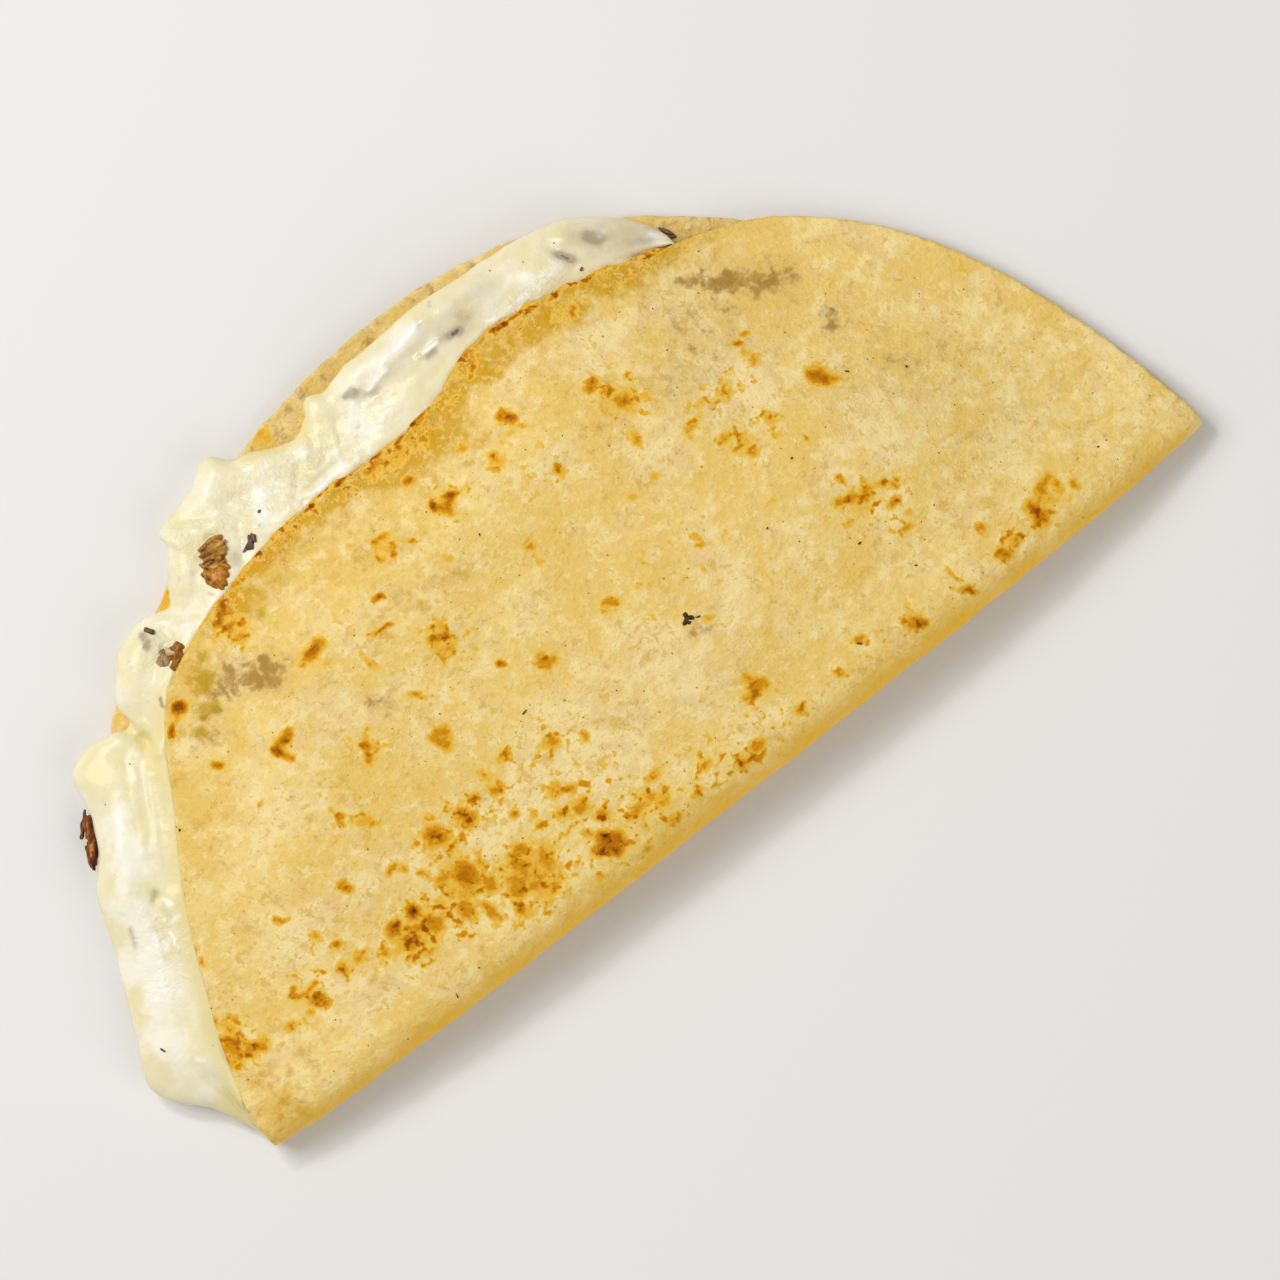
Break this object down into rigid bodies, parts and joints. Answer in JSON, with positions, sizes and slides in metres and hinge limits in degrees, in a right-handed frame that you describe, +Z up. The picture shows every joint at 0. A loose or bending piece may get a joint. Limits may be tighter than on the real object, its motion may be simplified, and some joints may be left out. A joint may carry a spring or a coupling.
{
  "type": "quesadilla",
  "caption": "Flour tortilla folded in half over melted cheese that runs out along its curved side, with bits of browned meat in it.",
  "frame": {"origin": "on the flat underside, 60 mm from the straight line between the fold's two ends and level with the fold's middle", "axes": "+X along the fold, +Y from the fold towards the curved open side, +Z up"},
  "size_m": [0.2625, 0.128, 0.0222],
  "materials": {
    "tortilla": "toasted flour tortilla: cream yellow with browned spots and a fried edge",
    "cheese": "glossy melted white cheese",
    "meat": "moist fibrous browned meat",
    "browned_meat": "dark browned meat, glossy with fat"
  },
  "bodies": {
    "root": {"tortilla": "tortilla", "cheese_filling": "cheese", "meat_chunk": "meat", "browned_strip": "browned_meat"}
  },
  "joints": []
}
